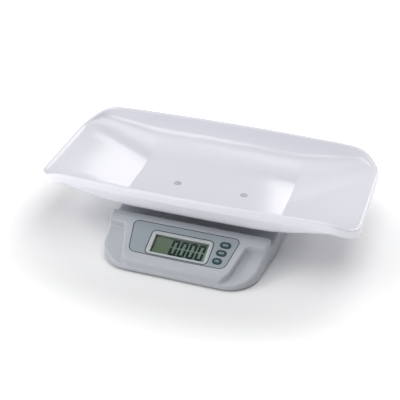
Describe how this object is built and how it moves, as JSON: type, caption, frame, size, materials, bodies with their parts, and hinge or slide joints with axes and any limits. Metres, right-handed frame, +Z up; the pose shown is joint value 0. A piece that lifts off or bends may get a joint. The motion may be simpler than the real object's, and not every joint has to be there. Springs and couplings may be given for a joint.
{
  "type": "digital baby weighing scale",
  "caption": "Moulded tray with a rolled rim on a load cell platform, over a low base with a sloped display console, keys and a sliding battery door.",
  "frame": {"origin": "centre of the footprint on the table, under the rubber feet", "axes": "+X along the tray, -Y towards the side with the display, +Z up"},
  "size_m": [0.55, 0.334, 0.1125],
  "materials": {
    "tray_white": "glossy white",
    "housing_grey": "fine satin",
    "base_plate_grey": "fine satin",
    "cap_grey": "satin",
    "overlay_blue": "satin printed film",
    "bezel_silver": "satin",
    "clear_window": "clear",
    "lcd_glass": "clear",
    "reflector": "brushed film",
    "holder_white": "plain",
    "zebra_rubber": "plain",
    "key_teal": "satin",
    "switch_black": "plain",
    "plunger_tan": "plain",
    "circuit_green": "solder mask",
    "chip_black": "moulded",
    "socket_cream": "plain",
    "zinc_steel": "zinc plated",
    "plate_steel": "zinc plated",
    "cast_alloy": "as cast",
    "bar_aluminium": "milled",
    "gauge_foil": "foil on film",
    "foot_rubber": "matte",
    "pad_silicone": "soft",
    "cell_label": "printed sleeve",
    "contact_nickel": "nickel plated",
    "cable_grey": "plain"
  },
  "bodies": {
    "base": {"housing_top": "housing_grey", "housing_bottom": "base_plate_grey", "housing_screws": "zinc_steel", "rubber_feet": "foot_rubber", "display_overlay": "overlay_blue", "lcd_bezel": "bezel_silver", "display_window": "clear_window", "lcd_glass": "lcd_glass", "lcd_reflector": "reflector", "lcd_holder": "holder_white", "contact_strips": "zebra_rubber", "main_board": "circuit_green", "board_screws": "zinc_steel", "board_chips": "chip_black", "key_switches": "switch_black", "cable_sockets": "socket_cream", "cell_plate": "plate_steel", "cell_plate_screws": "zinc_steel", "lower_spacer": "plate_steel", "load_cell": "bar_aluminium", "strain_gauges": "gauge_foil", "cell_lower_screws": "zinc_steel", "load_cell_cable": "cable_grey", "batteries": "cell_label", "battery_contacts": "contact_nickel", "battery_leads": "cable_grey"},
    "platform": {"tray": "tray_white", "tray_screws": "zinc_steel", "screw_caps": "cap_grey", "tray_platform": "plate_steel", "platform_pads": "pad_silicone", "stop_screws": "zinc_steel", "load_bridge": "cast_alloy", "upper_spacer": "plate_steel", "cell_upper_screws": "zinc_steel"},
    "power_key": {"button_power": "key_teal", "switch_plunger_power": "plunger_tan"},
    "tare_key": {"button_tare": "key_teal", "switch_plunger_tare": "plunger_tan"},
    "hold_key": {"button_hold": "key_teal", "switch_plunger_hold": "plunger_tan"},
    "door": {"battery_door": "base_plate_grey"}
  },
  "joints": [
    {"name": "platform_travel", "type": "slide", "parent": "base", "child": "platform", "axis": [0, 0, 1], "range_m": [-0.0015, 0], "stiffness_N_per_m": 160000, "deforming": ["load_cell"]},
    {"name": "power_press", "type": "slide", "parent": "base", "child": "power_key", "axis": [0, -0.3057, 0.9521], "range_m": [-0.001, 0], "stiffness_N_per_m": 1600},
    {"name": "tare_press", "type": "slide", "parent": "base", "child": "tare_key", "axis": [0, -0.3057, 0.9521], "range_m": [-0.001, 0], "stiffness_N_per_m": 1600},
    {"name": "hold_press", "type": "slide", "parent": "base", "child": "hold_key", "axis": [0, -0.3057, 0.9521], "range_m": [-0.001, 0], "stiffness_N_per_m": 1600},
    {"name": "battery_door_slide", "type": "slide", "parent": "base", "child": "door", "axis": [0, 1, 0], "range_m": [0, 0.06]}
  ]
}
